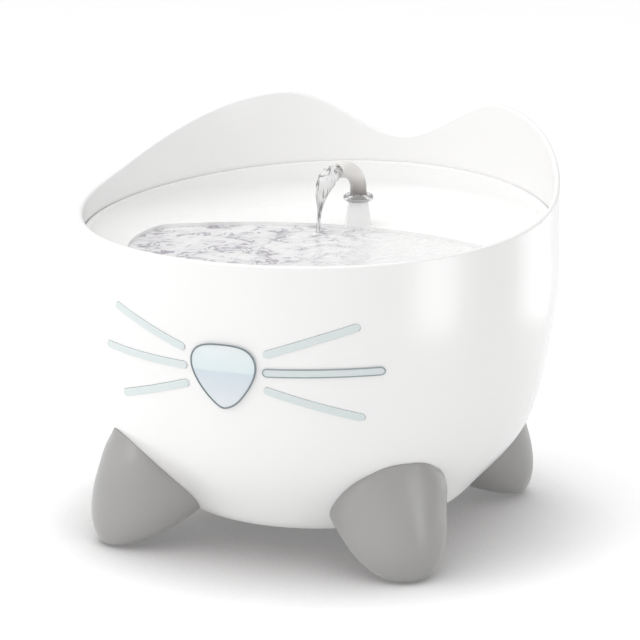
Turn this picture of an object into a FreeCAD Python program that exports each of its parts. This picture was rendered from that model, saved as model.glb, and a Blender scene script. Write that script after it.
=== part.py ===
"""Pet water fountain with a wave-edged tub, four feet, a drinking tray and a gooseneck spout.

Millimetres, +Z up, the face towards -Y. The origin lies on the ground under the tub's axis.
Angles round the tub are in degrees from the face, positive towards +X.
"""
import FreeCAD, Part
import functools
import math
import os

from FreeCAD import Vector

# Tub: a round shell whose wall rises to two ear peaks at the back
rim_radius = 122.0
rim_height = 166.6
tub_base_height = 13.6
tub_base_radius = 63.3
wall = 2.8
front_edge_height = 159.3
side_edge_height = 169.2
ear_peak_height = 204.5
ear_dip_height = 181.5
ear_peak_angle = 150.0
side_edge_slope = 0.33
edge_rounding = 1.2
belly_shape = [(0.25, 1.003), (0.5, 0.962), (0.74, 0.872), (0.92, 0.68)]

# Clearances between pieces
seat_gap = 0.3
fixed_gap = 0.1
running_gap = 0.08
slide_gap = 0.2

# Drinking tray: a dish with a shallow pool and a raised shelf at the back
seam_side_height = 155.0
seam_tilt = 0.0614
seam_curve = 0.00032
tray_wall = 2.4
tray_skirt_height = 148.3
ledge_width = 2.6
ledge_thickness = 2.5
tray_floor_height = 144.0
tray_corner_width = 18.0
tray_corner_height = 12.0
pool_floor_height = 137.5
pool_radius = 97.0
pool_corner = 12.0
pool_rounding = 4.0
shelf_edge_radius = 150.0
shelf_edge_y = 51.0

# Pedestal, collar and spout
spout_y = 56.5
pedestal_top_height = 156.2
pedestal_top_radius = 5.3
pedestal_foot_radius = 7.2
spigot_radius = 3.9
spigot_depth = 10.0
spout_radius = 4.35
spout_bore_radius = 2.6
spout_wall_rounding = 0.8
spout_bend_start = 163.6
spout_bend_radius = 10.6
spout_bend_angle = 100.0
spout_turn = -33.0
collar_radius = 7.9
collar_height = 3.8
spout_seal_wire = 0.7

# Hose between the pump and the pedestal
hose_radius = 5.3
hose_bore_radius = 3.75
hose_top_height = 141.0
hose_socket_wall = 1.5
hose_socket_depth = 18.0
hose_end_gap = 2.0

# Drain and filter under the tray
drain_y = -60.0
filter_radius = 32.0
basket_wall = 1.8
basket_height = 30.0
basket_flange = 2.0
basket_flange_thickness = 2.4
basket_hole_radius = 1.8
grille_thickness = 1.2
grille_border = 3.0
grille_slot_width = 2.2
grille_slot_pitch = 4.4
grille_hub_radius = 6.0
filter_rounding = 0.8
filter_foam_height = 8.0
filter_carbon_height = 10.0
filter_cotton_height = 6.0

# Nose window and whisker strips in the front wall
nose_width = 33.6
nose_top_height = 120.2
nose_tip_height = 88.1
nose_proud = 1.2
nose_shape = [
    (0, 0), (0.3, 0.07), (0.6, 0.235), (0.83, 0.42), (0.97, 0.62),
    (0.96, 0.78), (0.8, 0.91), (0.45, 0.985), (0, 1),
]
nose_steps = 36
nose_flange = 1.8
flange_thickness = 1.2
gasket_thickness = 1.0
whisker_width = 3.8
whisker_proud = 0.5
whisker_flange = 1.0
whisker_ends = {
    "upper": ((22.0, 116.7), (61.4, 130.1)),
    "middle": ((21.5, 107.4), (70.8, 108.2)),
    "lower": ((21.2, 98.2), (61.4, 85.0)),
}

# Feet: rounded cones that hug the belly
foot_angle = 44.7
foot_top_height = 57.5
foot_bottom_height = 0.5
foot_gap = 0.1
pad_reach = 111.0
pad_radius = 5.0
pad_height = 2.0
foot_screw_reach = 92.0
foot_screw_radius = 1.4
foot_screw_head_radius = 3.0
foot_screw_head_height = 2.0
foot_boss_radius = 5.0
foot_boss_height = 24.0
foot_screw_seat_height = 14.0
foot_screw_bite = 7.0

# Pump on the tub's floor under the spout
cup_radius = 5.0
cup_height = 6.0
cup_stem_radius = 2.0
pump_half_width = 18.0
pump_back_y = 22.0
pump_height = 33.0
pump_corner = 5.0
base_plate_thickness = 2.0
volute_radius = 12.5
volute_depth = 9.0
rotor_radius = 5.6
rotor_well_radius = 6.4
rotor_length = 21.0
thrust_gap = 0.5
shaft_radius = 1.0
bush_radius = 2.6
bush_length = 3.0
impeller_radius = 9.6
impeller_length = 8.5
impeller_hub_radius = 2.8
blade_count = 5
blade_thickness = 1.2
cover_thickness = 6.0
cover_lip = 1.2
cover_skin = 1.8
inlet_slot_count = 5
inlet_slot_width = 2.4
inlet_slot_pitch = 4.4
cover_lip_length = 2.0
cover_edge_rounding = 1.5
slider_width = 9.0
slider_height = 5.0
slider_window = 4.0
window_height = 2.2
slider_overlap = 1.0
rail_overrun = 1.0
rail_root = 0.5
slot_margin = 0.6
rail_width = 1.2
rail_lip = 0.8
slider_travel = 5.0
slider_thickness = 1.6
nipple_radius = 3.65
nipple_bore_radius = 2.4
nipple_height = 9.0
core_width = 24.0
core_depth = 14.0
core_thickness = 4.0
coil_width = 12.0
coil_height = 2.4
cable_gland_radius = 4.0
cable_gland_length = 7.0
cable_gland_root = 2.0
pump_edge_rounding = 1.5

# Cable outlet through the rear wall
outlet_height = 106.0
cable_bore_radius = 2.1
grommet_radius = 5.0
grommet_flange = 2.0
grommet_flange_thickness = 1.3
grommet_rounding = 0.6
grommet_seam_turn = 40.0

AXIS = Vector(0, 0, 1)
BACK = Vector(0, 1, 0)
ACROSS = Vector(1, 0, 0)
CUT = 400.0


def save(name, shape):
    """Write one piece, which is one solid or a group of alike solids."""
    if len(shape.Solids) == 1:
        shape = shape.Solids[0]
    shape.exportStep("parts/" + name + ".step")
    print(name, len(shape.Solids), round(shape.Volume, 1), shape.isValid())


def cylinder(radius, height, base, axis=AXIS):
    return Part.makeCylinder(radius, height, base, axis)


def tube(outer, inner, height, base, axis=AXIS):
    return cylinder(outer, height, base, axis).cut(cylinder(inner, height, base, axis))


def box(x0, x1, y0, y1, z0, z1):
    return Part.makeBox(x1 - x0, y1 - y0, z1 - z0, Vector(x0, y0, z0))


def smooth_edge(points, closed=False):
    curve = Part.BSplineCurve()
    curve.interpolate(Points=points, PeriodicFlag=closed)
    return curve.toShape()


def belly_curve():
    """Outer outline of the tub from the rim down to the edge of its flat base."""
    drop = rim_height - tub_base_height
    points = [Vector(rim_radius, 0, rim_height)]
    for depth, share in belly_shape:
        points.append(Vector(rim_radius * share, 0, rim_height - depth * drop))
    points.append(Vector(tub_base_radius, 0, tub_base_height))
    curve = Part.BSplineCurve()
    curve.interpolate(Points=points, InitialTangent=Vector(0, 0, -1), FinalTangent=Vector(-1, 0, -0.12))
    return curve


BELLY = belly_curve()
BELLY_STEPS = 24


def belly_points(offset):
    """Points along the belly, moved outwards by an offset along its normal."""
    points = []
    first, last = BELLY.FirstParameter, BELLY.LastParameter
    for step in range(BELLY_STEPS + 1):
        at = first + (last - first) * step / BELLY_STEPS
        along = BELLY.tangent(at)[0]
        outwards = Vector(-along.z, 0, along.x)
        points.append(BELLY.value(at) + outwards * offset)
    return points


def tub_floor():
    """Height of the inside floor of the tub."""
    return belly_points(-wall)[-1].z


floor_top = tub_floor()
pump_bottom = floor_top + cup_height
pump_top = pump_bottom + pump_height
rotor_height = pump_top - volute_radius - 1.5
volute_face = spout_y + volute_depth / 2
well_back = volute_face - volute_depth - rotor_length - bush_length - 1
core_y = pump_back_y + 4 + core_depth / 2
gland_height = rotor_height


def belly_radius(height):
    """Outer radius of the tub at a height, found by halving the curve's range."""
    if height >= rim_height:
        return rim_radius
    low, high = BELLY.FirstParameter, BELLY.LastParameter
    for _ in range(40):
        middle = (low + high) / 2
        if BELLY.value(middle).z > height:
            low = middle
        else:
            high = middle
    return BELLY.value(low).x


@functools.lru_cache(maxsize=None)
def belly_solid(offset, top=None):
    """The tub's outer form as a full solid, grown or shrunk by an offset."""
    top = top or ear_peak_height + 2 * wall
    points = belly_points(offset)
    rim, base = points[0], points[-1]
    outline = [
        Part.makeLine(Vector(0, 0, top), Vector(rim.x, 0, top)),
        Part.makeLine(Vector(rim.x, 0, top), rim),
        smooth_edge(points),
        Part.makeLine(base, Vector(0, 0, base.z)),
        Part.makeLine(Vector(0, 0, base.z), Vector(0, 0, top)),
    ]
    return Part.Face(Part.Wire(outline)).revolve(Vector(0, 0, 0), AXIS, 360)


def blend(start, end, start_slope, end_slope, share):
    """Cubic curve between two heights, with a slope at each end."""
    square, cube = share ** 2, share ** 3
    return (
        start * (2 * cube - 3 * square + 1)
        + end * (3 * square - 2 * cube)
        + start_slope * (cube - 2 * square + share)
        + end_slope * (cube - square)
    )


def edge_height(angle):
    """Height of the wall's wavy top edge at an angle from the face."""
    angle = abs(angle)
    if angle <= 90:
        return blend(front_edge_height, side_edge_height, 0, side_edge_slope * 90, angle / 90)
    if angle <= ear_peak_angle:
        span = ear_peak_angle - 90
        share = (angle - 90) / span
        return blend(side_edge_height, ear_peak_height, side_edge_slope * span, 0, share)
    share = (angle - ear_peak_angle) / (180 - ear_peak_angle)
    return blend(ear_peak_height, ear_dip_height, 0, 0, share)


def polar(radius, angle, height):
    turn = math.radians(angle)
    return Vector(radius * math.sin(turn), -radius * math.cos(turn), height)


def above_edge():
    """Everything over the wall's wavy edge, as a tool to cut with."""
    angles = [step * 7.5 for step in range(-24, 24)]
    inner = smooth_edge([polar(rim_radius * 0.9, a, edge_height(a)) for a in angles], True)
    outer = smooth_edge([polar(rim_radius * 1.1, a, edge_height(a)) for a in angles], True)
    return Part.makeRuledSurface(inner, outer).extrude(Vector(0, 0, ear_peak_height))


def at_foot(shape, index):
    """Turn a shape made on the -Y side to one of the four foot angles."""
    angle = (foot_angle, 180 - foot_angle, 180 + foot_angle, -foot_angle)[index]
    turned = shape.copy()
    turned.rotate(Vector(0, 0, 0), AXIS, angle)
    return turned


def foot_boss(gap, bottom):
    return cylinder(foot_boss_radius + gap, foot_top_height - bottom, Vector(0, -foot_screw_reach, bottom))


def capsule(start, end, width, near, far):
    """A round-ended bar in the front view, from depth y = near to y = far."""
    lean = Vector(end.x - start.x, 0, end.z - start.z)
    side = lean.cross(BACK).normalize() * (width / 2)
    length = lean.normalize() * (width / 2)
    lines = [
        Part.makeLine(start + side, end + side),
        Part.Arc(end + side, end + length, end - side).toShape(),
        Part.makeLine(end - side, start - side),
        Part.Arc(start - side, start - length, start + side).toShape(),
    ]
    face = Part.Face(Part.Wire(lines))
    face.translate(Vector(0, near, 0))
    return face.extrude(Vector(0, far - near, 0))


def whisker_line(row, side):
    return [Vector(side * x, 0, z) for x, z in whisker_ends[row]]


def nose_wire(grow):
    """Rounded triangle with its tip down, grown by an amount on every side."""
    half = nose_width / 2
    tall = nose_top_height - nose_tip_height
    right = [Vector(share * half, 0, nose_tip_height + rise * tall) for share, rise in nose_shape]
    left = [Vector(-p.x, 0, p.z) for p in reversed(right[1:-1])]
    outline = Part.BSplineCurve()
    outline.interpolate(Points=right + left, PeriodicFlag=True)
    span = outline.LastParameter - outline.FirstParameter
    points = []
    for step in range(nose_steps):
        at = outline.FirstParameter + span * step / nose_steps
        along = outline.tangent(at)[0]
        points.append(outline.value(at) + Vector(along.z, 0, -along.x) * grow)
    return Part.Wire(smooth_edge(points, True))


def nose_prism(grow):
    face = Part.Face(nose_wire(grow))
    face.translate(Vector(0, -1.2 * rim_radius, 0))
    return face.extrude(Vector(0, 0.6 * rim_radius, 0))


def make_tub():
    tub = belly_solid(0).cut(belly_solid(-wall))
    tub = tub.cut(above_edge())
    tops = [e for e in tub.Edges if e.BoundBox.ZMax > rim_height and e.BoundBox.ZLength > 1]
    long_tops = [e for e in tops if e.Length > rim_radius]
    tub = tub.makeFillet(edge_rounding, long_tops)
    ledge_top = tray_skirt_height - seat_gap
    inner = rim_radius - wall - ledge_width
    ledge = tube(rim_radius - wall / 2, inner, ledge_thickness, Vector(0, 0, ledge_top - ledge_thickness))
    tub = tub.fuse(ledge)
    boss = foot_boss(0, foot_boss_height).cut(belly_solid(-wall / 2))
    pilot = cylinder(foot_screw_radius, foot_screw_bite, Vector(0, -foot_screw_reach, foot_boss_height))
    for index in range(4):
        tub = tub.fuse(at_foot(boss, index)).cut(at_foot(pilot, index))
    tub = tub.cut(nose_prism(fixed_gap))
    for side in (-1, 1):
        for row in whisker_ends:
            start, end = whisker_line(row, side)
            slot = capsule(start, end, whisker_width + 2 * fixed_gap, -1.2 * rim_radius, -0.5 * rim_radius)
            tub = tub.cut(slot)
    hole_at = Vector(0, belly_radius(outlet_height) - 3 * wall, outlet_height)
    hole = cylinder(grommet_radius + fixed_gap, 4 * wall, hole_at, BACK)
    hole.rotate(hole_at, BACK, grommet_seam_turn)
    return tub.cut(hole)


def shell_band(outer, inner):
    """The space between two offsets of the tub's outer form."""
    return belly_solid(outer).cut(belly_solid(inner))


def make_nose_window():
    plug = nose_prism(0).common(shell_band(nose_proud, -wall - gasket_thickness))
    flange_outer = -wall - gasket_thickness
    flange = nose_prism(nose_flange).common(shell_band(flange_outer, flange_outer - flange_thickness))
    return plug.fuse(flange).removeSplitter()


def make_nose_gasket():
    band = shell_band(-wall, -wall - gasket_thickness)
    return nose_prism(nose_flange).cut(nose_prism(fixed_gap)).common(band)


def make_whisker(row, side):
    start, end = whisker_line(row, side)
    reach = (-1.2 * rim_radius, -0.5 * rim_radius)
    strip = capsule(start, end, whisker_width, *reach).common(shell_band(whisker_proud, -wall))
    wide = whisker_width + 2 * whisker_flange
    back = capsule(start, end, wide, *reach).common(shell_band(-wall, -wall - flange_thickness))
    return strip.fuse(back)


def foot_section(height, inner, outer, half_width):
    """One level section of a foot, an oval in plan between an inner and an outer reach."""
    centre, depth = (inner + outer) / 2, (outer - inner) / 2
    points = []
    for step in range(16):
        turn = 2 * math.pi * step / 16
        points.append(Vector(half_width * math.sin(turn), -centre - depth * math.cos(turn), height))
    return Part.Wire(smooth_edge(points, True))


def make_foot():
    """Foot on the -Y side: a loft through sections of height, inner and outer reach, half width."""
    sections = [
        (foot_bottom_height, 104.0, 117.5, 8.5),
        (2.0, 98.5, 119.6, 12.6),
        (5.0, 88.5, 121.3, 17.2),
        (10.0, 77.5, 122.6, 21.6),
        (19.0, 62.0, 123.0, 25.9),
        (30.0, 49.0, 121.2, 28.3),
        (40.0, 66.0, 117.6, 27.6),
        (49.0, 83.0, 113.6, 23.2),
        (54.5, 93.0, 110.9, 17.0),
        (foot_top_height, 99.0, 109.3, 10.5),
    ]
    foot = Part.makeLoft([foot_section(*each) for each in sections], True)
    foot = foot.cut(belly_solid(foot_gap))
    foot = foot.cut(foot_boss(fixed_gap, foot_boss_height - fixed_gap))
    reach = Vector(0, -foot_screw_reach, 0)
    shank_hole = cylinder(foot_screw_radius + fixed_gap, foot_boss_height, reach)
    head_hole = cylinder(foot_screw_head_radius + slide_gap, foot_screw_seat_height, reach)
    pad_pocket = cylinder(pad_radius, pad_height, Vector(0, -pad_reach, 0))
    return foot.cut(shank_hole).cut(head_hole).cut(pad_pocket)


def make_pad():
    pad = cylinder(pad_radius, pad_height, Vector(0, -pad_reach, 0))
    low = [e for e in pad.Edges if e.BoundBox.ZMax < pad_height / 2]
    return pad.makeChamfer(foot_bottom_height / 2, low)


def make_foot_screw():
    seat = Vector(0, -foot_screw_reach, foot_screw_seat_height - foot_screw_head_height)
    head = cylinder(foot_screw_head_radius, foot_screw_head_height, seat)
    length = foot_boss_height - foot_screw_seat_height + foot_screw_bite - running_gap
    shank = cylinder(foot_screw_radius - running_gap, length, seat + Vector(0, 0, foot_screw_head_height))
    slot = box(-foot_screw_head_radius, foot_screw_head_radius, -0.4, 0.4, 0, 0.9)
    slot.translate(seat)
    return head.fuse(shank).cut(slot)


def seam_cutter():
    """Everything over the gently rising seam where the tray meets the wall."""
    reach = 1.1 * rim_radius
    points = []
    for y in (-reach, 0, reach):
        points.append(Vector(-reach, y, seam_side_height + seam_tilt * y + seam_curve * y * y))
    sheet = smooth_edge(points).extrude(Vector(2 * reach, 0, 0))
    return sheet.extrude(Vector(0, 0, ear_peak_height))


def pool_prism(grow, bottom, rounding):
    """The pool's plan, a disc cut off by a wide arc along the shelf, as an upright prism."""
    height = tray_floor_height + tray_wall - bottom
    disc = cylinder(pool_radius + grow, height, Vector(0, 0, bottom))
    arc_centre = Vector(0, shelf_edge_y - shelf_edge_radius, bottom)
    pool = disc.common(cylinder(shelf_edge_radius + grow, height, arc_centre))
    tall = [e for e in pool.Edges if e.BoundBox.ZLength > height / 2]
    upright = [e for e in tall if e.BoundBox.XLength < fixed_gap / 2]
    corners = [e for e in upright if abs(e.BoundBox.YMin + pool_radius) > 10]
    pool = pool.makeFillet(pool_corner, corners)
    low = [e for e in pool.Edges if e.BoundBox.ZMax < bottom + 0.01]
    return pool.makeFillet(rounding, low)


def dish(radius, floor, top, corner):
    """A round dish-shaped solid: flat floor, quarter-oval corner, upright wall up to the top."""
    centre = Vector(radius - corner, 0, floor + tray_corner_height)
    right = Vector(radius, 0, centre.z)
    low = Vector(centre.x, 0, floor)
    turns = [math.pi / 2 * n / 6 for n in range(7)]
    bend = [centre + Vector(corner * math.sin(a), 0, -tray_corner_height * math.cos(a)) for a in turns]
    lines = [
        Part.makeLine(Vector(0, 0, floor), low),
        smooth_edge(bend),
        Part.makeLine(right, Vector(radius, 0, top)),
        Part.makeLine(Vector(radius, 0, top), Vector(0, 0, top)),
        Part.makeLine(Vector(0, 0, top), Vector(0, 0, floor)),
    ]
    return Part.Face(Part.Wire(lines)).revolve(Vector(0, 0, 0), AXIS, 360)


def make_tray():
    outer_radius = rim_radius - wall - seat_gap
    top = ear_dip_height
    under = tray_floor_height - tray_wall
    skirt = cylinder(outer_radius, top - tray_skirt_height, Vector(0, 0, tray_skirt_height))
    lower = dish(outer_radius - ledge_width, under, top, tray_corner_width - tray_wall)
    tray = skirt.fuse(lower)
    tray = tray.fuse(pool_prism(tray_wall, pool_floor_height - tray_wall, pool_rounding + tray_wall))
    ring_bottom = pool_floor_height - basket_flange_thickness - seat_gap - tray_wall
    ring_radius = filter_radius + basket_flange + seat_gap + tray_wall
    ring = cylinder(ring_radius, pool_floor_height - ring_bottom, Vector(0, drain_y, ring_bottom))
    tray = tray.fuse(ring)
    spout_line = Vector(0, spout_y, 0)
    socket_radius = hose_radius + slide_gap
    socket_top = hose_top_height + hose_end_gap
    socket_bottom = socket_top - hose_socket_depth
    socket = cylinder(
        socket_radius + hose_socket_wall, tray_floor_height - socket_bottom, spout_line + AXIS * socket_bottom
    )
    tray = tray.fuse(socket)
    tray = tray.cut(dish(outer_radius - tray_wall, tray_floor_height, top + wall, tray_corner_width))
    tray = tray.cut(pool_prism(0, pool_floor_height, pool_rounding))
    foot = spout_line + AXIS * (pool_floor_height - tray_wall / 2)
    column = cylinder(pedestal_foot_radius, tray_floor_height - foot.z, foot)
    cone_height = pedestal_top_height - tray_floor_height
    cone = Part.makeCone(
        pedestal_foot_radius, pedestal_top_radius, cone_height, spout_line + AXIS * tray_floor_height
    )
    tray = tray.fuse(column).fuse(cone)
    tray = tray.cut(cylinder(socket_radius, hose_socket_depth, spout_line + AXIS * socket_bottom))
    tray = tray.cut(cylinder(spigot_radius + fixed_gap, CUT, spout_line + AXIS * socket_bottom))
    hole = cylinder(filter_radius + seat_gap, CUT, Vector(0, drain_y, ring_bottom - tray_wall))
    recess_bottom = pool_floor_height - basket_flange_thickness - seat_gap
    recess = cylinder(filter_radius + basket_flange + seat_gap, CUT, Vector(0, drain_y, recess_bottom))
    return tray.cut(hole).cut(recess).cut(seam_cutter())


def make_filter_basket():
    """Basket that drops into the tray's hole and hangs by its flange."""
    top = pool_floor_height
    base = Vector(0, drain_y, top - basket_height)
    basket = cylinder(filter_radius, basket_height, base)
    flange_at = Vector(0, drain_y, top - basket_flange_thickness)
    basket = basket.fuse(cylinder(filter_radius + basket_flange, basket_flange_thickness, flange_at))
    basket = basket.cut(cylinder(filter_radius - basket_wall, basket_height, base + AXIS * basket_wall))
    seat = grille_thickness + fixed_gap
    basket = basket.cut(cylinder(grille_radius() + seat_gap, CUT, Vector(0, drain_y, top - seat)))
    for ring in range(4):
        radius = ring * (filter_radius - 2 * basket_wall) / 4
        count = max(1, 6 * ring)
        for n in range(count):
            spot = base + polar(radius, 360 / count * n, -basket_wall / 2)
            basket = basket.cut(cylinder(basket_hole_radius, 2 * basket_wall, spot))
    return basket


def grille_radius():
    return filter_radius - basket_wall / 2


def make_drain_grille():
    """Slotted lid of the basket, with a plain disc in its middle."""
    radius = grille_radius()
    base = Vector(0, drain_y, pool_floor_height - grille_thickness)
    grille = cylinder(radius, grille_thickness, base)
    reach = radius - grille_border
    rows = int(reach / grille_slot_pitch)
    slots = []
    for n in range(-rows, rows + 1):
        x = n * grille_slot_pitch
        half = math.sqrt(reach * reach - x * x)
        if half > grille_slot_width:
            left = x - grille_slot_width / 2
            near, far = drain_y - half, drain_y + half
            slots.append(box(left, left + grille_slot_width, near, far, base.z - 1, base.z + CUT))
    pattern = slots[0].fuse(slots[1:])
    return grille.cut(pattern.cut(cylinder(grille_hub_radius, CUT, base - AXIS)))


def make_filter_disc(bottom, height):
    disc = cylinder(filter_radius - basket_wall - slide_gap, height, Vector(0, drain_y, bottom))
    return disc.makeFillet(filter_rounding, [e for e in disc.Edges if e.BoundBox.ZLength < 0.01])


def make_collar():
    base = Vector(0, spout_y, pedestal_top_height + seat_gap)
    ring = cylinder(collar_radius, collar_height, base)
    ring = ring.makeFillet(collar_height * 0.42, [e for e in ring.Edges if e.BoundBox.ZLength < 0.01])
    ring = ring.cut(cylinder(spout_radius + running_gap, collar_height, base))
    groove = cylinder(spout_radius + 2 * spout_seal_wire + fixed_gap, 2 * spout_seal_wire + slide_gap, base)
    return ring.cut(groove)


def make_spout_seal():
    middle = Vector(0, spout_y, pedestal_top_height + seat_gap + spout_seal_wire + fixed_gap / 2)
    return Part.makeTorus(spout_radius + spout_seal_wire + running_gap, spout_seal_wire, middle)


def spout_arc(share):
    """A point of the spout's bend, before the spout is turned to its side."""
    turn = math.radians(spout_bend_angle * share)
    forward = spout_bend_radius * (1 - math.cos(turn))
    return Vector(0, spout_y - forward, spout_bend_start + spout_bend_radius * math.sin(turn))


def spout_pipe(radius):
    """The spout's bent length as a full round bar, from the collar's foot to the mouth."""
    foot = Vector(0, spout_y, pedestal_top_height + seat_gap)
    path = Part.Wire([
        Part.makeLine(foot, spout_arc(0)),
        Part.Arc(spout_arc(0), spout_arc(0.5), spout_arc(1)).toShape(),
    ])
    ring = Part.Wire(Part.makeCircle(radius, foot, AXIS))
    return path.makePipeShell([ring], True, False)


def make_spout():
    bar = spout_pipe(spout_radius)
    mouth = spout_arc(1)
    lips = [e for e in bar.Edges if e.BoundBox.Center.distanceToPoint(mouth) < spout_radius / 2]
    bar = bar.makeFillet(spout_wall_rounding, lips)
    spigot_top = pedestal_top_height + seat_gap
    spigot_at = Vector(0, spout_y, spigot_top - spigot_depth)
    spigot = cylinder(spigot_radius, spigot_depth + fixed_gap, spigot_at)
    lower = cylinder(spout_bore_radius, spigot_depth + fixed_gap, spigot_at)
    spout = bar.fuse(spigot).cut(spout_pipe(spout_bore_radius)).cut(lower)
    spout.rotate(spigot_at, AXIS, spout_turn)
    return spout


def make_hose():
    bottom = pump_top + fixed_gap
    hose = tube(hose_radius, hose_bore_radius, hose_top_height - bottom, Vector(0, spout_y, bottom))
    return hose


def make_cup(x, y):
    """A suction cup: a shallow bell with a stem that snaps into the base plate."""
    bell = Part.makeCone(cup_radius, cup_stem_radius, cup_height - 2, Vector(x, y, floor_top))
    hollow = Part.makeCone(cup_radius - 1.2, 0, cup_height - 3.5, Vector(x, y, floor_top))
    stem = cylinder(cup_stem_radius, 2 + base_plate_thickness, Vector(x, y, floor_top + cup_height - 2))
    return bell.cut(hollow).fuse(stem)


def cup_places():
    inset = pump_corner + cup_stem_radius
    front = pump_back_y + inset
    back = volute_face - inset
    return [(side * (pump_half_width - inset), y) for side in (-1, 1) for y in (front, back)]


def make_base_plate():
    x, top = pump_half_width, pump_bottom + base_plate_thickness
    plate = box(-x, x, pump_back_y, volute_face, pump_bottom, top)
    upright = [e for e in plate.Edges if e.BoundBox.ZLength > base_plate_thickness / 2]
    plate = plate.makeFillet(pump_corner, upright)
    for cup_x, cup_y in cup_places():
        plate = plate.cut(cylinder(cup_stem_radius, CUT, Vector(cup_x, cup_y, 0)))
    return plate


def make_pump_housing():
    x = pump_half_width
    block = box(-x, x, pump_back_y, volute_face, pump_bottom + base_plate_thickness, pump_top)
    upright = [e for e in block.Edges if e.BoundBox.ZLength > pump_height / 2]
    block = block.makeFillet(pump_corner, upright)
    tops = [e for e in block.Edges if e.BoundBox.ZMin > pump_top - 0.01]
    block = block.makeFillet(pump_edge_rounding, tops)
    nipple = cylinder(nipple_radius, nipple_height + 2, Vector(0, spout_y, pump_top - 2))
    block = block.fuse(nipple)
    rotor_line = Vector(0, 0, rotor_height)
    volute = cylinder(volute_radius, volute_depth, rotor_line + BACK * (volute_face - volute_depth), BACK)
    well_length = rotor_length + bush_length + 1
    well_at = rotor_line + BACK * (volute_face - volute_depth - well_length)
    well = cylinder(rotor_well_radius, well_length, well_at, BACK)
    block = block.cut(volute).cut(well)
    throat = cylinder(nipple_bore_radius, CUT, Vector(0, spout_y, rotor_height + rotor_well_radius))
    block = block.cut(throat)
    pocket = core_pocket(slide_gap)
    block = block.cut(pocket)
    gland_at = Vector(0, pump_back_y - cable_gland_length + cable_gland_root, gland_height)
    boss = cylinder(cable_gland_radius, cable_gland_length, gland_at, BACK)
    hole = cylinder(cable_bore_radius, cable_gland_length, gland_at, BACK)
    return block.fuse(boss).cut(hole)


def core_pocket(gap):
    half, deep = core_width / 2 + gap, core_depth / 2 + gap
    low = pump_bottom + base_plate_thickness
    return box(-half, half, core_y - deep, core_y + deep, low, low + core_thickness + 2 * coil_height + gap)


def make_stator_core():
    low = pump_bottom + base_plate_thickness + coil_height
    half, deep = core_width / 2, core_depth / 2
    return box(-half, half, core_y - deep + coil_height, core_y + deep - coil_height, low, low + core_thickness)


def make_stator_coil():
    low = pump_bottom + base_plate_thickness
    half, deep = coil_width / 2, core_depth / 2
    wound = box(-half, half, core_y - deep, core_y + deep, low, low + core_thickness + 2 * coil_height)
    wound = wound.makeFillet(1.0, [e for e in wound.Edges if e.BoundBox.XLength > 1])
    return wound.cut(make_stator_core())


def make_bush(y):
    return tube(bush_radius, shaft_radius + running_gap / 2, bush_length, Vector(0, y, rotor_height), BACK)


def make_shaft():
    length = volute_face + cover_thickness - cover_skin - well_back
    return cylinder(shaft_radius, length, Vector(0, well_back, rotor_height), BACK)


def make_rotor():
    start = well_back + bush_length + thrust_gap
    length = impeller_back() - start
    return tube(rotor_radius, shaft_radius + running_gap, length, Vector(0, start, rotor_height), BACK)


def impeller_back():
    return volute_face - volute_depth + thrust_gap


def make_impeller():
    start = impeller_back()
    at = Vector(0, start, rotor_height)
    hub = cylinder(impeller_hub_radius, impeller_length, at, BACK)
    plate = cylinder(impeller_radius * 0.7, 1.2, at, BACK)
    wheel = hub.fuse(plate)
    for n in range(blade_count):
        half = blade_thickness / 2
        blade = box(-half, half, start, start + impeller_length, 1.0, impeller_radius)
        blade.translate(Vector(0, 0, rotor_height))
        blade.rotate(at, BACK, 360 / blade_count * n)
        wheel = wheel.fuse(blade)
    return wheel.cut(cylinder(shaft_radius + running_gap, CUT, at - BACK * CUT / 2, BACK))


def cover_back():
    return volute_face + seat_gap


def rounded_cap(radius, thickness, rounding, at):
    """A disc along +Y whose far rim is rounded over by a quarter circle."""
    side = at + Vector(radius, 0, 0)
    shoulder = at + Vector(radius, thickness - rounding, 0)
    turn = rounding * (1 - math.sqrt(0.5))
    middle = at + Vector(radius - turn, thickness - turn, 0)
    face = at + Vector(radius - rounding, thickness, 0)
    outline = Part.Wire([
        Part.makeLine(at, side),
        Part.makeLine(side, shoulder),
        Part.Arc(shoulder, middle, face).toShape(),
        Part.makeLine(face, at + BACK * thickness),
        Part.makeLine(at + BACK * thickness, at),
    ])
    return Part.Face(outline).revolve(at, BACK, 360)


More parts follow.
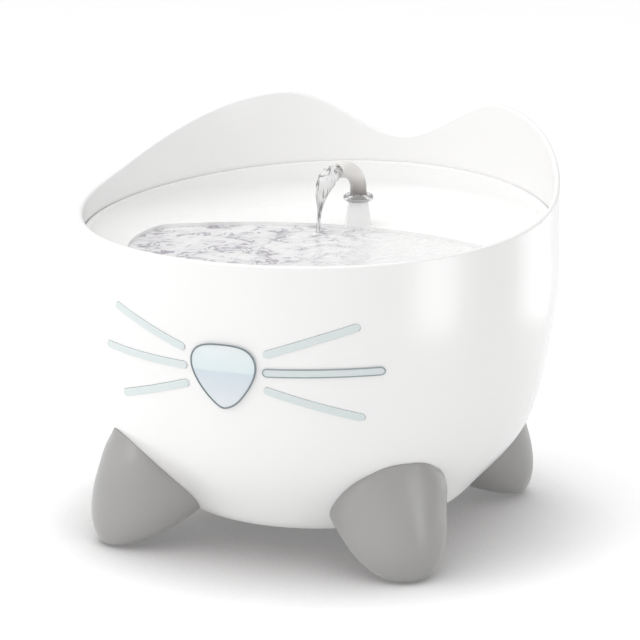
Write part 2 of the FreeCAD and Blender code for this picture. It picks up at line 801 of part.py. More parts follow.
def make_cover():
    """Front cover: a cap over the impeller with an inlet grille and a seat for the front bush."""
    radius = volute_radius + cover_lip
    at = Vector(0, cover_back(), rotor_height)
    cap = rounded_cap(radius, cover_thickness, cover_edge_rounding, at)
    lip_radius = volute_radius - seat_gap
    lip_length = cover_lip_length + seat_gap
    lip = tube(lip_radius, lip_radius - cover_skin, lip_length, at - BACK * lip_length, BACK)
    hollow = cylinder(lip_radius - cover_skin, cover_thickness - cover_skin, at, BACK)
    cap = cap.fuse(lip).cut(hollow)
    skin_y = at.y + cover_thickness - cover_skin
    seat_at = Vector(0, skin_y - bush_length, rotor_height)
    cap = cap.fuse(tube(bush_radius + cover_skin, bush_radius + fixed_gap / 2, bush_length, seat_at, BACK))
    low = rotor_height - lip_radius + cover_skin + slot_margin
    high = rotor_height - bush_radius - cover_skin - slot_margin
    for n in range(inlet_slot_count):
        x = (n - (inlet_slot_count - 1) / 2) * inlet_slot_pitch
        half = inlet_slot_width / 2
        cap = cap.cut(box(x - half, x + half, seat_at.y, at.y + CUT, low + abs(x) / 3, high))
    middle = slider_middle()
    face = at.y + cover_thickness
    half, tall = slider_window / 2, window_height / 2
    cap = cap.cut(box(-half, half, seat_at.y, at.y + CUT, middle - tall, middle + tall))
    length = slider_width + slider_travel + 2 * rail_overrun
    deep = slider_thickness + 2 * slide_gap
    for side in (-1, 1):
        near = slider_height / 2 + slide_gap
        bounds = sorted((middle + side * near, middle + side * (near + rail_width)))
        rail = box(-length / 2, length / 2, face - rail_root, face + deep + rail_lip, *bounds)
        bounds = sorted((middle + side * (near - rail_lip), middle + side * near))
        lip = box(-length / 2, length / 2, face + deep, face + deep + rail_lip, *bounds)
        cap = cap.fuse(rail.fuse(lip))
    return cap.removeSplitter()


def slider_middle():
    return rotor_height + bush_radius + cover_skin + slider_height / 2 - slider_overlap


def make_slider():
    """Flow slider: a thin shutter between the cover's rails with a thumb nub."""
    y = cover_back() + cover_thickness + slide_gap
    x, half = -slider_travel / 2, slider_width / 2
    z, tall = slider_middle(), slider_height / 2
    plate = box(x - half, x + half, y, y + slider_thickness, z - tall, z + tall)
    plate = plate.makeFillet(0.5, [e for e in plate.Edges if e.BoundBox.YLength > 1])
    nub_tall = tall - rail_lip - slide_gap
    nub = box(x - 1, x + 1, y + slider_thickness, y + slider_thickness + 2.2, z - nub_tall, z + nub_tall)
    return plate.fuse(nub)


def make_grommet():
    """Cable grommet: a soft bush with a flange on each side of the tub's rear wall."""
    reach = grommet_radius + grommet_flange
    high, low = belly_radius(outlet_height + reach), belly_radius(outlet_height - reach)
    outer_at = Vector(0, high + fixed_gap, outlet_height)
    dip = low - math.sqrt(low ** 2 - reach ** 2)
    inner_at = Vector(0, low - wall - dip - fixed_gap, outlet_height)
    start = inner_at - BACK * grommet_flange_thickness
    length = outer_at.y + grommet_flange_thickness - start.y
    sleeve = cylinder(grommet_radius, length, start, BACK)
    inner = cylinder(reach, grommet_flange_thickness, start, BACK)
    outer = cylinder(reach, grommet_flange_thickness, outer_at, BACK)
    lips = [e for e in outer.Edges if e.BoundBox.YMin > outer_at.y + grommet_rounding]
    outer = outer.makeFillet(grommet_rounding, lips)
    return sleeve.fuse(inner).fuse(outer).cut(cylinder(cable_bore_radius, CUT, start - BACK, BACK))


if __name__ == "__main__":
    os.makedirs("parts", exist_ok=True)
    save("reservoir", make_tub())
    save("nose_window", make_nose_window())
    save("nose_gasket", make_nose_gasket())
    for side, word in ((-1, "left"), (1, "right")):
        for row in whisker_ends:
            save("whisker_" + word + "_" + row, make_whisker(row, side))
    foot, pad, screw = make_foot(), make_pad(), make_foot_screw()
    for index, corner in enumerate(("front_right", "rear_right", "rear_left", "front_left")):
        save("foot_" + corner, at_foot(foot, index))
    save("foot_pads", Part.makeCompound([at_foot(pad, n) for n in range(4)]))
    save("foot_screws", Part.makeCompound([at_foot(screw, n) for n in range(4)]))
    save("cable_grommet", make_grommet())
    save("drinking_tray", make_tray())
    save("filter_basket", make_filter_basket())
    level = pool_floor_height - basket_height + basket_wall
    filter_layers = (
        ("cotton", filter_cotton_height),
        ("carbon", filter_carbon_height),
        ("foam", filter_foam_height),
    )
    for word, height in filter_layers:
        save("filter_" + word, make_filter_disc(level, height))
        level += height
    save("drain_grille", make_drain_grille())
    save("spout_collar", make_collar())
    save("spout_seal", make_spout_seal())
    save("spout", make_spout())
    save("riser_hose", make_hose())
    save("pump_housing", make_pump_housing())
    save("pump_base_plate", make_base_plate())
    save("suction_cups", Part.makeCompound([make_cup(*place) for place in cup_places()]))
    save("stator_core", make_stator_core())
    save("stator_coil", make_stator_coil())
    save("impeller_shaft", make_shaft())
    save("rear_bush", make_bush(well_back))
    save("front_bush", make_bush(cover_back() + cover_thickness - cover_skin - bush_length))
    save("rotor_magnet", make_rotor())
    save("impeller", make_impeller())
    save("pump_cover", make_cover())
    save("flow_slider", make_slider())
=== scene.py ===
"""The pet water fountain with its finishes, its water and a plain studio.

Metres, in the frame of the CAD model: +Z up and the face towards -Y.
"""

import math

import bmesh
import bpy
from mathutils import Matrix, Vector, noise


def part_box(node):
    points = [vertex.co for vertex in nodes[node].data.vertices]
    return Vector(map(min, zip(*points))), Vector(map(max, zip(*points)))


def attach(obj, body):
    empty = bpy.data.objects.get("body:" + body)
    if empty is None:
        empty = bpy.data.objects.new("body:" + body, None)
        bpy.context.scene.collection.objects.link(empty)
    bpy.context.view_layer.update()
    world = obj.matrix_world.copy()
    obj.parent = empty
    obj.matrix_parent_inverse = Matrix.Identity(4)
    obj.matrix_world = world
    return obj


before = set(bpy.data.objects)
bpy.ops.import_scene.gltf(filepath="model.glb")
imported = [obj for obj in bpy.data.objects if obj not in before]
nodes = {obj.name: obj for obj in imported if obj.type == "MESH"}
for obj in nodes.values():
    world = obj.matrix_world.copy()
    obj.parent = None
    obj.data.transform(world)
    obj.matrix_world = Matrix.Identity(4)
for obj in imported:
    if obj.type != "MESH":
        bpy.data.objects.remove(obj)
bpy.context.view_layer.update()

# The pool in the tray, and the ripples on it
POOL_LEVEL = 0.1422
POOL_RADIUS = 0.0975
POOL_RINGS = 90
POOL_SPOKES = 360
SHELF_ARC_RADIUS = 0.1505
SHELF_ARC_CENTRE = Vector((0, -0.099, 0))
RING_HEIGHT = 0.00022
RING_PITCH = 0.0011
RING_REACH = 0.016
CHOP_HEIGHT = 0.00028
CHOP_SCALE = 75
CHOP_LAYER = 0.3

# The water stored in the tub
STORE_LEVEL = 0.1068
STORE_INSET = 0.0032
STORE_STEPS = 30
STORE_SPOKES = 120
TUB_OUTLINE = [(0.0633, 0.0136), (0.0830, 0.0258), (0.1064, 0.0534), (0.1174, 0.0901), (0.1201, 0.1070)]

# The spout's mouth and the falling stream: how far ahead and how far down, and its radii
MOUTH = Vector((-0.00678, 0.04607, 0.17404))
STREAM_TURN = math.radians(-33)
STREAM_PATH = [(-0.0026, 0), (0, 0), (0.0036, 0.0007), (0.0078, 0.0042), (0.0108, 0.0105),
               (0.0124, 0.0186), (0.0131, 0.0256), (0.0134, 0.0324)]
STREAM_RADII = [0.00255, 0.0030, 0.0036, 0.0036, 0.0031, 0.0024, 0.0018, 0.0013]
STREAM_STEPS = 96
STREAM_SIDES = 32
STREAM_TWIST = math.radians(210)
STREAM_TWIST_START = 0.12
STREAM_FLATTEN = 0.55
STREAM_FLATTEN_RATE = 6
STREAM_SWELL = 0.16
STREAM_SWELL_SCALE = 11
STREAM_SWELL_LAYER = 0.7
STREAM_FLARE_START = 0.965
STREAM_FLARE_GAIN = 1.2
STREAM_STREAK_SCALE = (520.0, 520.0, 130.0)

# Share of a line to each side of a point between which its direction is taken
TANGENT_SHARE = 0.01

# Beads round the pieces in the front wall: their radii, and which faces of a piece count as showing
NOSE_BEAD = 0.00042
WHISKER_BEAD = 0.00028
BEAD_ROUNDING = 3
JOIN_DISTANCE = 0.000002
OUTLINE_BAND = 0.006
SHOWING_TURN = 0.85

# Surfaces
WATER_IOR = 1.33
PLASTIC_IOR = 1.46
SILICONE_IOR = 1.41
MOULDED_DEPTH = 0.00004
CLEAR_DEPTH = 0.00003
CLEAR_SKIN = 0.2
WEAR = 0.15
WHITE = (1.0, 1.0, 1.0)

# Ranges in which a mask blends one tone into the next
MOULDED_RANGE = (0.05, 0.95)
FIBRE_RANGE = (0.45, 1.1)
EDGE_RANGE = (0.45, 0.95)
PAPER_RANGE = (0.3, 0.7)
CONTACT_RANGE = (0.15, 0.9)
STREAM_RANGE = (0.36, 0.47)
STREAM_RIM_RANGE = (0.62, 0.92)
PATCH_RANGE = (0.35, 0.8)
STREAK_RANGE = (0.28, 0.70)

# The nose window: how far its level line blurs, and the heights of the bands above and below it
LEVEL_ABOVE = 0.0002
LEVEL_BELOW = 0.0006
WINDOW_PALE_BAND = 0.012
WINDOW_DEEP_BAND = 0.017

# The pool's ripples, their painted reflections in violet, and from where to where these fade out across it
# into a painted highlight
FINE_RIPPLES = {"Scale": 85.0, "Narrowness": 11.0}
BROAD_RIPPLES = {"Scale": 26.0, "Narrowness": 4.5}
RIPPLE_HIGHLIGHT_FADE = (0.06, -0.02)
REFLECTED_DARK_VIOLET = (0.40, 0.38, 0.43)
REFLECTED_PALE_VIOLET = (0.90, 0.885, 0.91)

# Share of the spout's height, from its collar up, over which the painted shade at its collar fades into its
# pale grey
SPOUT_SHADE_SHARE = 0.6

# Studio
CAMERA_PLACE = Vector((0.50065, -1.24581, 0.43049))
CAMERA_AIM = Vector((0.0009, 0, 0.10457))
CAMERA_LENS = 151.6
CAMERA_NEAR = 0.05
SENSOR_WIDTH = 36.0
LAMP_AIM = Vector((0, 0, 0.1))
CARD_REACH = 0.43
CARD_HEIGHT = 0.30
FLOOR_REACH = 6.0
FLOOR_LIFT = 0.22
CONTACT_SHADE = (0.11, 0.09, 0.088)
CONTACT_REACH = 0.085
WORLD_DIM = 0.42
WORLD_BRIGHT = 1.03
WORLD_BRIGHT_SIDE = Vector((-0.40, -0.68, 0.61))

# Lamps: place, size and power. Gloss cards: turn from the front, width and power
LEFT_WINDOW = (-1.2, -1.0, 1.1), (1.0, 1.0), 5
TOP_PANEL = (-0.2, -0.1, 1.7), (1.3, 1.3), 7
CARD_RIGHT = math.radians(71), 0.15, 0.30
CARD_REAR = math.radians(133), 0.24, 0.28

# Sockets of a mix node by number, since its names repeat
MIX_SHARE = 0
MIX_FIRST_VALUE, MIX_SECOND_VALUE, MIX_VALUE = 2, 3, 0
MIX_FIRST_COLOUR, MIX_SECOND_COLOUR, MIX_COLOUR = 6, 7, 2


# Node trees

def feed(tree, value, socket):
    """Links a socket to another one, or gives it a number, a colour or a vector."""
    if isinstance(value, bpy.types.NodeSocket):
        tree.links.new(value, socket)
    elif socket.type == "RGBA":
        socket.default_value = (*value, 1)
    else:
        socket.default_value = value


def feed_all(tree, node, values):
    for socket, value in values.items():
        feed(tree, value, node.inputs[socket])


def add_node(tree, kind, values=None, **settings):
    """One node with its settings and with what goes into its sockets."""
    made = tree.nodes.new(kind)
    for key, value in settings.items():
        setattr(made, key, value)
    feed_all(tree, made, values or {})
    return made


def object_place(tree):
    """The place of a shaded point in the frame of its object."""
    return add_node(tree, "ShaderNodeTexCoord").outputs["Object"]


def object_axis(tree, axis):
    """One coordinate of that place."""
    return add_node(tree, "ShaderNodeSeparateXYZ", {"Vector": object_place(tree)}).outputs[axis]


def calculated(tree, operation, first, second=None, **settings):
    """A calculation with one or two sockets or numbers."""
    made = add_node(tree, "ShaderNodeMath", {0: first}, operation=operation, **settings)
    if second is not None:
        feed(tree, second, made.inputs[1])
    return made.outputs["Value"]


def stretched(tree, value, low, high, new_low=0.0, new_high=1.0):
    """A value moved from one range to another and kept inside it."""
    limits = {"From Min": low, "From Max": high, "To Min": new_low, "To Max": new_high}
    return add_node(tree, "ShaderNodeMapRange", {"Value": value, **limits}).outputs["Result"]


def mixed(tree, share, first, second, blend="MIX"):
    """Two colours mixed by a share from 0 to 1."""
    colours = {MIX_SHARE: share, MIX_FIRST_COLOUR: first, MIX_SECOND_COLOUR: second}
    return add_node(tree, "ShaderNodeMix", colours, data_type="RGBA", blend_type=blend).outputs[MIX_COLOUR]


def two_tones(tree, mask, low, high, colour_a, colour_b):
    """Blends two colours as a mask goes from low to high."""
    return mixed(tree, stretched(tree, mask, low, high), colour_a, colour_b)


def shaded(colour, share):
    return tuple(channel * share for channel in colour)


# Shared surface effects

def new_group(name, inputs, outputs):
    """An empty node group of numbers: inputs are {socket name: default}, outputs a list of names."""
    tree = bpy.data.node_groups.new(name, "ShaderNodeTree")
    for socket, default in inputs.items():
        made = tree.interface.new_socket(socket, in_out="INPUT", socket_type="NodeSocketFloat")
        made.default_value = default
    for socket in outputs:
        tree.interface.new_socket(socket, in_out="OUTPUT", socket_type="NodeSocketFloat")
    return tree, tree.nodes.new("NodeGroupInput").outputs, tree.nodes.new("NodeGroupOutput")


def noise_texture(tree, scale, detail, roughness, distortion=0.0):
    values = {"Vector": object_place(tree), "Scale": scale, "Detail": detail, "Roughness": roughness,
              "Distortion": distortion}
    return add_node(tree, "ShaderNodeTexNoise", values).outputs["Fac"]


def moulding_group():
    """Moulded plastic: a broad uneven tone and a fine skin."""
    scales = {"Broad Scale": 9.0, "Fine Scale": 900.0}
    tree, given, result = new_group("MouldedSkin", scales, ["Tone", "Skin"])
    feed_all(tree, result, {
        "Tone": noise_texture(tree, given["Broad Scale"], 2.0, 0.5),
        "Skin": noise_texture(tree, given["Fine Scale"], 3.0, 0.6),
    })
    return tree


def fibre_group():
    """Felt, foam and granules: cells with soft fibres over them."""
    tree, given, result = new_group("FibreAndCells", {"Cell Scale": 300.0, "Fibre Scale": 700.0}, ["Relief"])
    around = {"Vector": object_place(tree), "Scale": given["Cell Scale"]}
    cells = add_node(tree, "ShaderNodeTexVoronoi", around).outputs["Distance"]
    fibres = noise_texture(tree, given["Fibre Scale"], 4.0, 0.7)
    feed_all(tree, result, {"Relief": calculated(tree, "ADD", cells, fibres)})
    return tree


def ripple_group():
    """Moving water: a mask of narrow dark streaks that follow bent ripples, used for painted reflections, and
    their relief.
    """
    tree, given, result = new_group("WaterRipples", {"Scale": 55.0, "Narrowness": 5.0}, ["Streaks", "Relief"])
    waves = noise_texture(tree, given["Scale"], 2.0, 0.45, 1.4)
    off_middle = calculated(tree, "ABSOLUTE", calculated(tree, "SUBTRACT", waves, 0.5))
    steep = calculated(tree, "MULTIPLY", off_middle, given["Narrowness"])
    streaks = calculated(tree, "SUBTRACT", 1.0, steep, use_clamp=True)
    feed_all(tree, result, {"Streaks": streaks, "Relief": waves})
    return tree


MOULDED_SKIN = moulding_group()
FIBRES = fibre_group()
RIPPLES = ripple_group()


def effect(tree, group, values=None):
    """The outputs of a shared surface effect."""
    return add_node(tree, "ShaderNodeGroup", values, node_tree=group).outputs


# Finishes

def new_material(name):
    """A material with its tree and its Principled shader."""
    made = bpy.data.materials.new(name)
    made.use_nodes = True
    return made, made.node_tree, made.node_tree.nodes["Principled BSDF"]


def bump(tree, height, depth, strength):
    """The normal of a surface with some relief."""
    relief = {"Height": height, "Distance": depth, "Strength": strength}
    return add_node(tree, "ShaderNodeBump", relief).outputs["Normal"]


def clear_skin(tree):
    """The faint relief of clear and thin plastic."""
    return bump(tree, effect(tree, MOULDED_SKIN)["Skin"], CLEAR_DEPTH, CLEAR_SKIN)


def moulded(name, colour, roughness, coat=0.0, variation=0.04, skin=0.25, fine=900.0, metallic=0.0,
            coat_roughness=0.05):
    """A moulded, cast or ground finish with an uneven tone and a fine skin."""
    made, tree, shader = new_material(name)
    texture = effect(tree, MOULDED_SKIN, {"Fine Scale": fine})
    darkest = shaded(colour, 1 - 2 * variation)
    least, most = roughness * (1 - WEAR), roughness * (1 + WEAR)
    feed_all(tree, shader, {
        "Base Color": two_tones(tree, texture["Tone"], *MOULDED_RANGE, darkest, colour),
        "Roughness": stretched(tree, texture["Tone"], 0.0, 1.0, least, most),
        "Coat Weight": coat,
        "Coat Roughness": coat_roughness,
        "Metallic": metallic,
        "Normal": bump(tree, texture["Skin"], MOULDED_DEPTH, skin),
    })
    return made


def fibrous(name, colour, dark, cells, fibres, depth):
    """Felt, foam or granules, dark between the cells."""
    made, tree, shader = new_material(name)
    relief = effect(tree, FIBRES, {"Cell Scale": cells, "Fibre Scale": fibres})["Relief"]
    feed_all(tree, shader, {
        "Base Color": two_tones(tree, relief, *FIBRE_RANGE, colour, dark),
        "Roughness": 0.9,
        "Normal": bump(tree, relief, depth, 0.8),
    })
    return made


def clear(name, colour, edge_shade_colour, clearness, roughness, ior=PLASTIC_IOR):
    """Tinted clear plastic or water, with painted shade where it is seen edge on."""
    made, tree, shader = new_material(name)
    edge = add_node(tree, "ShaderNodeLayerWeight", {"Blend": 0.35}).outputs["Facing"]
    # Painted shade: the colour darkens towards the edge colour where the surface is seen edge on
    feed_all(tree, shader, {
        "Base Color": two_tones(tree, edge, *EDGE_RANGE, colour, edge_shade_colour),
        "Roughness": roughness,
        "IOR": ior,
        "Transmission Weight": clearness,
        "Normal": clear_skin(tree),
    })
    return made


def window_plastic():
    """The nose window: pale above the water behind it, blue-grey below, with the level as a fine line."""
    made, tree, shader = new_material("NoseWindowPlastic")
    height = object_axis(tree, "Z")
    below = stretched(tree, height, STORE_LEVEL + LEVEL_ABOVE, STORE_LEVEL - LEVEL_BELOW)
    top, bottom = STORE_LEVEL + WINDOW_PALE_BAND, STORE_LEVEL - WINDOW_DEEP_BAND
    upper = two_tones(tree, height, STORE_LEVEL, top, (0.84, 0.96, 0.98), (0.93, 0.99, 1.0))
    lower = two_tones(tree, height, bottom, STORE_LEVEL, (0.88, 0.93, 0.96), (0.75, 0.84, 0.91))
    feed_all(tree, shader, {
        "Base Color": mixed(tree, below, upper, lower),
        "Roughness": 0.08,
        "Transmission Weight": 0.15,
        "Normal": clear_skin(tree),
    })
    return made


def spout_plastic():
    """The spout's pale grey plastic, with painted shade that darkens its lowest part above the collar."""
    made, tree, shader = new_material("SpoutGrey")
    low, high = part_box("spout_collar")[1].z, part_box("spout")[1].z
    pale_from = low + (high - low) * SPOUT_SHADE_SHARE
    height = object_axis(tree, "Z")
    # Painted shade: below pale_from the pale grey darkens towards the collar
    feed_all(tree, shader, {
        "Base Color": two_tones(tree, height, low, pale_from, (0.22, 0.20, 0.195), (0.78, 0.76, 0.74)),
        "Roughness": 0.2,
        "Coat Weight": 0.3,
        "Normal": clear_skin(tree),
    })
    return made


def pool_water():
    """Rippled water with painted reflections: pale violet patches and dark streaks, which thin out towards
    the right of the pool into a painted highlight.
    """
    made, tree, shader = new_material("PoolWater")
    fine = effect(tree, RIPPLES, FINE_RIPPLES)
    broad = effect(tree, RIPPLES, BROAD_RIPPLES)
    # Painted highlight: towards the right of the pool the reflections fade out into plain white
    highlight_fade = stretched(tree, object_axis(tree, "X"), *RIPPLE_HIGHLIGHT_FADE)
    patches = calculated(tree, "MULTIPLY", broad["Streaks"], highlight_fade)
    streaks = calculated(tree, "MULTIPLY", fine["Streaks"], patches)
    # Painted reflections: pale violet patches with dark streaks over them
    pale = two_tones(tree, patches, *PATCH_RANGE, (0.98, 0.98, 0.98), REFLECTED_PALE_VIOLET)
    feed_all(tree, shader, {
        "Base Color": mixed(tree, stretched(tree, streaks, *STREAK_RANGE), pale, REFLECTED_DARK_VIOLET),
        "Roughness": 0.02,
        "IOR": WATER_IOR,
        "Transmission Weight": 0.25,
        "Normal": bump(tree, fine["Relief"], 0.0012, 0.6),
    })
    return made


def stream_water():
    """Clear falling water with painted reflections as dark lines drawn out along the jet, and painted shade
    at its edges.
    """
    made, tree, shader = new_material("StreamWater")
    drawn_out = {"Vector": object_place(tree), "Scale": STREAM_STREAK_SCALE}
    drawn = add_node(tree, "ShaderNodeMapping", drawn_out).outputs["Vector"]
    ripples = {"Vector": drawn, "Scale": 1.0, "Detail": 1.5, "Distortion": 0.9}
    waves = add_node(tree, "ShaderNodeTexNoise", ripples).outputs["Fac"]
    # Painted reflections: dark lines drawn out along the jet
    reflection_streaks = two_tones(tree, waves, *STREAM_RANGE, (0.30, 0.29, 0.29), (0.97, 0.97, 0.97))
    # Painted shade along the edges, where the jet is seen edge on
    edge = add_node(tree, "ShaderNodeLayerWeight", {"Blend": 0.4}).outputs["Facing"]
    feed_all(tree, shader, {
        "Base Color": mixed(tree, stretched(tree, edge, *STREAM_RIM_RANGE), reflection_streaks, (0.06, 0.06, 0.06)),
        "Roughness": 0.02,
        "IOR": WATER_IOR,
        "Transmission Weight": 0.6,
        "Normal": bump(tree, waves, 0.0006, 0.6),
    })
    return made


def paint(node, material):
    """Gives a CAD node one material in each of its slots, and smooth shading on its own normals."""
    mesh = node.data
    if not mesh.materials:
        mesh.materials.append(material)
    for index in range(len(mesh.materials)):
        mesh.materials[index] = material
    mesh.shade_smooth()


def finish_nodes():
    """Gives each CAD node its finish."""
    white = moulded("TubWhite", (0.92, 0.915, 0.91), 0.33, coat=0.8, variation=0.012, skin=0.05,
                    coat_roughness=0.22)
    tray = moulded("TrayWhite", (0.93, 0.93, 0.925), 0.22, coat=0.3, variation=0.012, skin=0.06)
    foot = moulded("FootGrey", (0.37, 0.365, 0.36), 0.34, coat=0.1, variation=0.06, skin=0.35)
    rubber = moulded("GreyRubber", (0.11, 0.11, 0.115), 0.7, variation=0.12, skin=0.6, fine=1400)
    soft = moulded("SoftSeal", (0.62, 0.62, 0.61), 0.5, variation=0.08, skin=0.5)
    steel = moulded("ScrewSteel", (0.55, 0.55, 0.57), 0.34, variation=0.1, skin=0.5, metallic=1.0)
    whisker = clear("WhiskerPlastic", (0.80, 0.87, 0.87), (0.36, 0.42, 0.44), 0.12, 0.12)
    ring = clear("CollarPlastic", (0.93, 0.94, 0.94), (0.25, 0.24, 0.24), 0.85, 0.05)
    hose = clear("HoseSilicone", (0.85, 0.87, 0.87), (0.55, 0.58, 0.58), 0.6, 0.3, SILICONE_IOR)
    pump = moulded("PumpBlack", (0.022, 0.022, 0.024), 0.42, variation=0.2, skin=0.9, fine=1200)
    slider = moulded("SliderGrey", (0.16, 0.16, 0.17), 0.4, variation=0.1, skin=0.5)
    core = moulded("CoreSteel", (0.32, 0.32, 0.34), 0.45, variation=0.2, skin=0.8, metallic=1.0)
    copper = moulded("CoilCopper", (0.55, 0.21, 0.08), 0.28, variation=0.25, skin=1.0, fine=1800,
                     metallic=1.0)
    ceramic = moulded("ShaftCeramic", (0.80, 0.78, 0.73), 0.2, variation=0.05, skin=0.2)
    magnet = moulded("MagnetDark", (0.05, 0.05, 0.055), 0.55, variation=0.25, skin=0.8)
    impeller = moulded("ImpellerWhite", (0.72, 0.72, 0.71), 0.3, variation=0.05, skin=0.3)
    cotton = fibrous("CottonFelt", (0.80, 0.80, 0.77), (0.55, 0.55, 0.52), 420, 900, 0.0003)
    carbon = fibrous("CarbonGranules", (0.06, 0.06, 0.062), (0.012, 0.012, 0.013), 480, 900, 0.0006)
    foam = fibrous("BlueFoam", (0.12, 0.25, 0.42), (0.03, 0.07, 0.14), 620, 500, 0.0005)
    finishes = {
        "reservoir": white, "nose_window": window_plastic(), "nose_gasket": rubber, "foot_pads": rubber,
        "foot_screws": steel, "cable_grommet": rubber, "drinking_tray": tray, "filter_basket": tray,
        "filter_cotton": cotton, "filter_carbon": carbon, "filter_foam": foam, "drain_grille": tray,
        "spout_collar": ring, "spout_seal": soft, "spout": spout_plastic(), "riser_hose": hose,
        "pump_housing": pump, "pump_base_plate": pump, "suction_cups": soft, "stator_core": core,
        "stator_coil": copper, "impeller_shaft": ceramic, "rear_bush": soft, "front_bush": soft,
        "rotor_magnet": magnet, "impeller": impeller, "pump_cover": pump, "flow_slider": slider,
    }
    for name, node in nodes.items():
        if name.startswith("foot_") and name not in finishes:
            paint(node, foot)
        elif name.startswith("whisker_"):
            paint(node, whisker)
        else:
            paint(node, finishes[name])


# Making pieces

def add_object(name, data):
    made = bpy.data.objects.new(name, data)
    bpy.context.scene.collection.objects.link(made)
    return made


def new_piece(name, data, material, body):
    """Turns a mesh or a curve into a named piece that rides on a body."""
    data.materials.append(material)
    piece = add_object(name, data)
    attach(piece, body)


def finished_mesh(name, work, smooth=True):
    """Turns mesh work into a mesh with its faces outwards."""
    mesh = bpy.data.meshes.new(name)
    bmesh.ops.recalc_face_normals(work, faces=work.faces)
    work.to_mesh(mesh)
    work.free()
    if smooth:
        mesh.shade_smooth()
    return mesh


def full_turn(count):
    """Angles evenly round a full turn."""
    return [2 * math.pi * step / count for step in range(count)]


def join_rows(work, rows):
    """Closes the faces between rings of as many points each."""
    for lower, upper in zip(rows, rows[1:]):
        for at in range(len(lower)):
            following = (at + 1) % len(lower)
            work.faces.new((lower[at], lower[following], upper[following], upper[at]))


def spline_point(points, share):
    """A point of a smooth line through evenly counted points or numbers."""
    at = share * (len(points) - 1)
    first = min(int(at), len(points) - 2)
    t = at - first
    p0, p1 = points[max(first - 1, 0)], points[first]
    p2, p3 = points[first + 1], points[min(first + 2, len(points) - 1)]
    return 0.5 * ((2 * p1) + (p2 - p0) * t + (2 * p0 - 5 * p1 + 4 * p2 - p3) * t * t
                  + (3 * p1 - p0 - 3 * p2 + p3) * t ** 3)


def spline_way(points, share):
    """The way along that line at one of its points."""
    before = spline_point(points, max(share - TANGENT_SHARE, 0))
    return spline_point(points, min(share + TANGENT_SHARE, 1)) - before


# Water

def stream_way():
    """The level direction in which the spout points."""
    return Vector((math.sin(STREAM_TURN), -math.cos(STREAM_TURN), 0))


def pool_reach(angle):
    """Distance from the tub's axis to the pool's edge, in a direction of its plan."""
    along = Vector((math.cos(angle), math.sin(angle), 0))
    ahead = along.dot(SHELF_ARC_CENTRE)
    to_arc = ahead + math.sqrt(ahead ** 2 - SHELF_ARC_CENTRE.length_squared + SHELF_ARC_RADIUS ** 2)
    return min(POOL_RADIUS, to_arc)


def ripple_height(place, foot):
    """Height of the moving surface: rings round the stream's foot and crossing waves."""
    away = (place - foot).to_2d().length
    rings = math.sin(away / RING_PITCH) * math.exp(-away / RING_REACH) * RING_HEIGHT
    return rings + noise.noise(Vector((place.x * CHOP_SCALE, place.y * CHOP_SCALE, CHOP_LAYER))) * CHOP_HEIGHT


def make_pool_surface():
    """The water in the tray: a rippled sheet out to the pool's wall."""
    foot = MOUTH + stream_way() * STREAM_PATH[-1][0]
    work = bmesh.new()
    middle = work.verts.new((0, 0, POOL_LEVEL))
    rows = []
    for ring in range(1, POOL_RINGS + 1):
        row = []
        for angle in full_turn(POOL_SPOKES):
            reach = pool_reach(angle) * ring / POOL_RINGS
            place = Vector((reach * math.cos(angle), reach * math.sin(angle), POOL_LEVEL))
            place.z += ripple_height(place, foot)
            row.append(work.verts.new(place))
        rows.append(row)
    for spoke in range(POOL_SPOKES):
        following = (spoke + 1) % POOL_SPOKES
        work.faces.new((middle, rows[0][spoke], rows[0][following]))
        for inner, outer in zip(rows, rows[1:]):
            work.faces.new((inner[spoke], outer[spoke], outer[following], inner[following]))
    new_piece("water_surface", finished_mesh("water_surface", work), pool_water(), "tray")


def stream_radius(share):
    """The stream's radius along its way: uneven, narrowing, and flared at the foot."""
    radius = spline_point(STREAM_RADII, share)
    radius *= 1 + STREAM_SWELL * noise.noise(Vector((share * STREAM_SWELL_SCALE, STREAM_SWELL_LAYER, 0)))
    flare = max(0.0, share - STREAM_FLARE_START) / (1 - STREAM_FLARE_START)
    return radius * (1 + STREAM_FLARE_GAIN * flare ** 2)


def make_stream():
    """The falling stream: a flattened round jet that twists and narrows, with a flared foot."""
    ahead_way = stream_way()
    side_way = ahead_way.cross(Vector((0, 0, 1)))
    route = [MOUTH + ahead_way * ahead - Vector((0, 0, drop)) for ahead, drop in STREAM_PATH]
    work = bmesh.new()
    rows = []
    for step in range(STREAM_STEPS + 1):
        share = step / STREAM_STEPS
        centre = spline_point(route, share)
        normal = side_way.cross(spline_way(route, share).normalized()).normalized()
        radius = stream_radius(share)
        turn = STREAM_TWIST * max(0.0, share - STREAM_TWIST_START)
        flat = 1 - (1 - STREAM_FLATTEN) * min(share * STREAM_FLATTEN_RATE, 1)
        row = []
        for angle in full_turn(STREAM_SIDES):
            u, v = radius * math.cos(angle) / math.sqrt(flat), radius * math.sin(angle) * flat
            place = centre + side_way * (u * math.cos(turn) - v * math.sin(turn))
            place += normal * (u * math.sin(turn) + v * math.cos(turn))
            row.append(work.verts.new(place))
        rows.append(row)
    join_rows(work, rows)
    work.faces.new(rows[0])
    work.faces.new(rows[-1])
    new_piece("water_stream", finished_mesh("water_stream", work), stream_water(), "spout")


